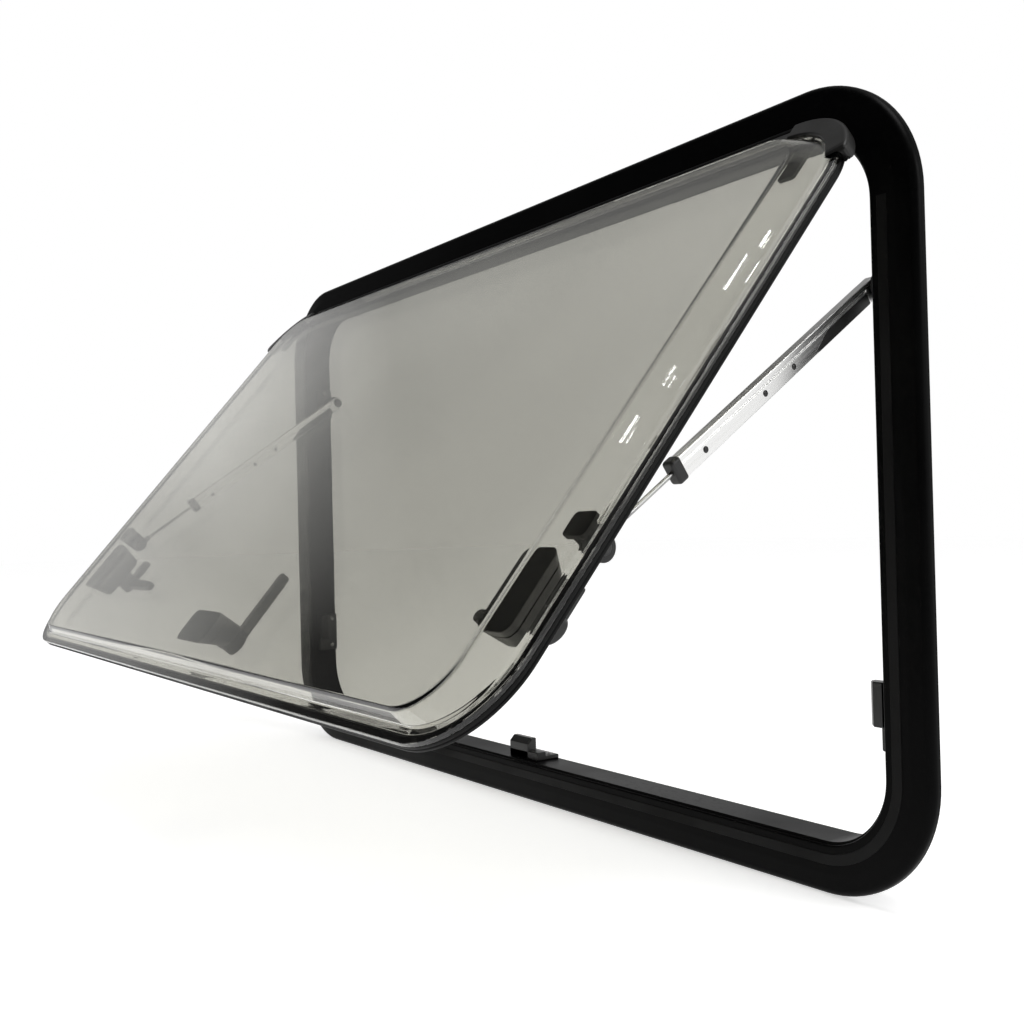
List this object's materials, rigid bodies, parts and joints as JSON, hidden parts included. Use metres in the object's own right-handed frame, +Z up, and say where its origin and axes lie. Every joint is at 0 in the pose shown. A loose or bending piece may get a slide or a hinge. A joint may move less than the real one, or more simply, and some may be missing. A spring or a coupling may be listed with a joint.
{
  "type": "caravan window",
  "caption": "Top-hung caravan window: black flanged frame with rounded corners, smoked domed acrylic sash propped open on telescopic stays, with turning latches.",
  "frame": {"origin": "middle of the flange's back face, where it lies on the caravan's outer skin", "axes": "+X to the right seen from outside, +Y into the caravan, +Z up"},
  "size_m": [0.74, 0.2973, 0.44],
  "materials": {
    "frame_black": "gloss black powder coat",
    "seal_rubber": "matte black rubber",
    "smoked_acrylic": "smoke-tinted cast acrylic, polished",
    "hinge_metal": "black anodised extrusion",
    "black_moulding": "moulded black nylon",
    "stay_metal": "bright anodised extrusion",
    "rod_steel": "drawn steel rod"
  },
  "bodies": {
    "frame": {"outer_frame": "frame_black", "frame_gasket": "seal_rubber", "hinge_channel": "frame_black", "stay_bracket_left": "black_moulding", "stay_bracket_right": "black_moulding", "strike_left": "black_moulding", "strike_right": "black_moulding", "strike_bottom": "black_moulding"},
    "sash": {"outer_pane": "smoked_acrylic", "inner_pane": "smoked_acrylic", "edge_seal": "seal_rubber", "hinge_rail": "hinge_metal", "hinge_cap_left": "black_moulding", "hinge_cap_right": "black_moulding", "sash_bracket_left": "black_moulding", "sash_bracket_right": "black_moulding", "corner_brace_left": "black_moulding", "corner_brace_right": "black_moulding", "latch_base_left": "black_moulding", "latch_base_right": "black_moulding", "latch_base_bottom": "black_moulding"},
    "lever_left": {"latch_lever_left": "black_moulding"},
    "lever_right": {"latch_lever_right": "black_moulding"},
    "lever_bottom": {"latch_lever_bottom": "black_moulding"},
    "stay_left": {"stay_channel_left": "stay_metal", "stay_collar_left": "black_moulding"},
    "rod_left": {"stay_rod_left": "rod_steel", "rod_eye_left": "black_moulding"},
    "stay_right": {"stay_channel_right": "stay_metal", "stay_collar_right": "black_moulding"},
    "rod_right": {"stay_rod_right": "rod_steel", "rod_eye_right": "black_moulding"}
  },
  "joints": [
    {"name": "sash_hinge", "type": "hinge", "parent": "frame", "child": "sash", "pos_m": [0, -0.01, 0.194], "axis": [-1, 0, 0], "range_deg": [-40.6, 0]},
    {"name": "latch_left_turn", "type": "hinge", "parent": "sash", "child": "lever_left", "pos_m": [-0.3085, -0.20121, -0.05567], "axis": [0, 0.7593, -0.6508], "range_deg": [-90, 0]},
    {"name": "latch_right_turn", "type": "hinge", "parent": "sash", "child": "lever_right", "pos_m": [0.3085, -0.20121, -0.05567], "axis": [0, -0.7593, 0.6508], "range_deg": [-90, 0]},
    {"name": "latch_bottom_turn", "type": "hinge", "parent": "sash", "child": "lever_bottom", "pos_m": [0, -0.22561, -0.08414], "axis": [0, 0.7593, -0.6508], "range_deg": [-90, 0]},
    {"name": "stay_left_turn", "type": "hinge", "parent": "frame", "child": "stay_left", "pos_m": [-0.323, 0.018, 0.11], "axis": [-1, 0, 0], "range_deg": [-51.34, 0]},
    {"name": "rod_left_slide", "type": "slide", "parent": "stay_left", "child": "rod_left", "axis": [0, -0.8266, -0.5628], "range_m": [-0.04625, 0]},
    {"name": "stay_right_turn", "type": "hinge", "parent": "frame", "child": "stay_right", "pos_m": [0.323, 0.018, 0.11], "axis": [-1, 0, 0], "range_deg": [-51.34, 0]},
    {"name": "rod_right_slide", "type": "slide", "parent": "stay_right", "child": "rod_right", "axis": [0, -0.8266, -0.5628], "range_m": [-0.04625, 0]}
  ],
  "couplings": [
    {"joint": "stay_left_turn", "follows": "sash_hinge", "ratio": 1.2642},
    {"joint": "rod_left_slide", "follows": "sash_hinge", "m_per_rad": 0.065242},
    {"joint": "stay_right_turn", "follows": "sash_hinge", "ratio": 1.2642},
    {"joint": "rod_right_slide", "follows": "sash_hinge", "m_per_rad": 0.065242}
  ]
}
